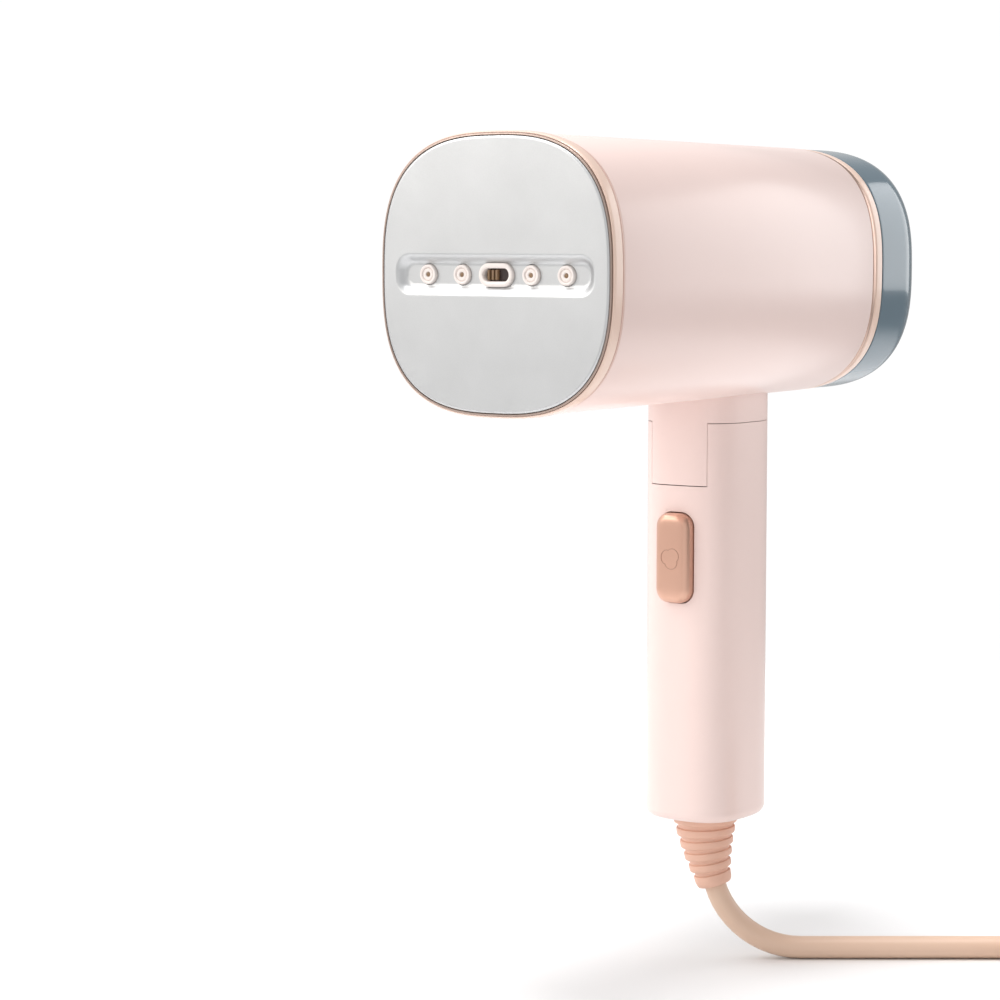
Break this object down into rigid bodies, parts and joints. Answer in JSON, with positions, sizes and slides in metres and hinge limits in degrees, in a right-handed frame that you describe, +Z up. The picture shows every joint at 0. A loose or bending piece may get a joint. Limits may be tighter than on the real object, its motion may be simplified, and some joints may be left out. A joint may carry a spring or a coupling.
{
  "type": "foldable handheld garment steamer",
  "caption": "Handheld garment steamer whose barrel head folds down over its grip, with a steam plate, a removable smoky water tank and a mains cord.",
  "frame": {"origin": "the middle of the grip, on the handle's axis, with the steamer held upright", "axes": "+Z up the handle to the head; -Y is the way the steam plate faces, +Y the tank's end; +X is the user's side at which the cord leaves"},
  "size_m": [0.2367, 0.2239, 0.2786],
  "materials": {
    "shell": "pale pink, satin gloss",
    "bezel": "cream rose, gloss",
    "rose_trim": "rose-gold plating",
    "button": "rose-gold lacquer",
    "plate": "satin, clear coated",
    "insert": "heat-proof, cream",
    "tank": "smoky blue-grey, translucent in life",
    "clear": "silicone hose",
    "rubber": "rose, matte",
    "seal": "black, matte",
    "inner": "plain moulding",
    "casting": "as cast",
    "steel": "plain",
    "board": "solder mask",
    "dark": "plain moulding",
    "cord": "rose, satin sheath"
  },
  "bodies": {
    "handle": {"handle_shell": "shell", "handle_back_cover": "shell", "cover_screw_1": "steel", "cover_screw_2": "steel", "hinge_pin_left": "steel", "hinge_pin_right": "steel", "friction_washer_left": "steel", "friction_washer_right": "steel", "button_spring": "steel", "micro_switch": "dark", "control_board": "board", "power_relay": "dark", "cord_boot": "rubber", "cord_clamp": "inner", "clamp_screw_left": "steel", "clamp_screw_right": "steel", "power_cord": "cord", "cord_coil": "cord", "cord_tie": "seal", "plug_body": "cord", "plug_pin_left": "steel", "plug_pin_right": "steel"},
    "head": {"soleplate": "plate", "steam_nozzle_1": "insert", "steam_nozzle_2": "insert", "steam_nozzle_3": "insert", "steam_nozzle_4": "insert", "centre_outlet": "insert", "sole_trim_ring": "rose_trim", "front_bezel": "bezel", "steam_chamber": "casting", "chamber_cover": "casting", "chamber_screw_1": "steel", "chamber_screw_2": "steel", "heating_element": "steel", "thermostat": "dark", "head_shell": "shell", "neck_and_lug": "shell", "neck_plate": "casting", "neck_screw_rear": "steel", "neck_screw_front": "steel", "chassis_shelf": "inner", "pump": "dark", "pump_cradle": "rubber", "outlet_hose": "clear", "inlet_hose": "clear", "dock_bulkhead": "inner", "dock_port": "inner", "dock_seal": "seal", "rear_trim_ring": "rose_trim", "tank_collar": "bezel"},
    "steam_button": {"steam_button": "button"},
    "tank": {"water_tank": "tank", "tank_lid": "inner", "valve_cage": "inner", "valve_spring": "steel", "pickup_hose": "clear"},
    "filler_plug": {"filler_plug": "rubber"},
    "tank_valve": {"valve_poppet": "steel"}
  },
  "joints": [
    {"name": "head_fold", "type": "hinge", "parent": "handle", "child": "head", "pos_m": [0, -0.009, 0.057], "axis": [1, 0, 0], "range_deg": [0, 90]},
    {"name": "button_press", "type": "slide", "parent": "handle", "child": "steam_button", "axis": [0, 1, 0], "range_m": [0, 0.0018], "stiffness_N_per_m": 600, "springref_m": -0.002, "deforming": ["button_spring"]},
    {"name": "tank_pull", "type": "slide", "parent": "head", "child": "tank", "axis": [0, 1, 0], "range_m": [0, 0.045]},
    {"name": "filler_plug_pull", "type": "slide", "parent": "tank", "child": "filler_plug", "axis": [0, 0, -1], "range_m": [0, 0.012]},
    {"name": "valve_lift", "type": "slide", "parent": "tank", "child": "tank_valve", "axis": [0, 1, 0], "range_m": [0, 0.002], "stiffness_N_per_m": 250, "springref_m": -0.003, "deforming": ["valve_spring"]}
  ]
}
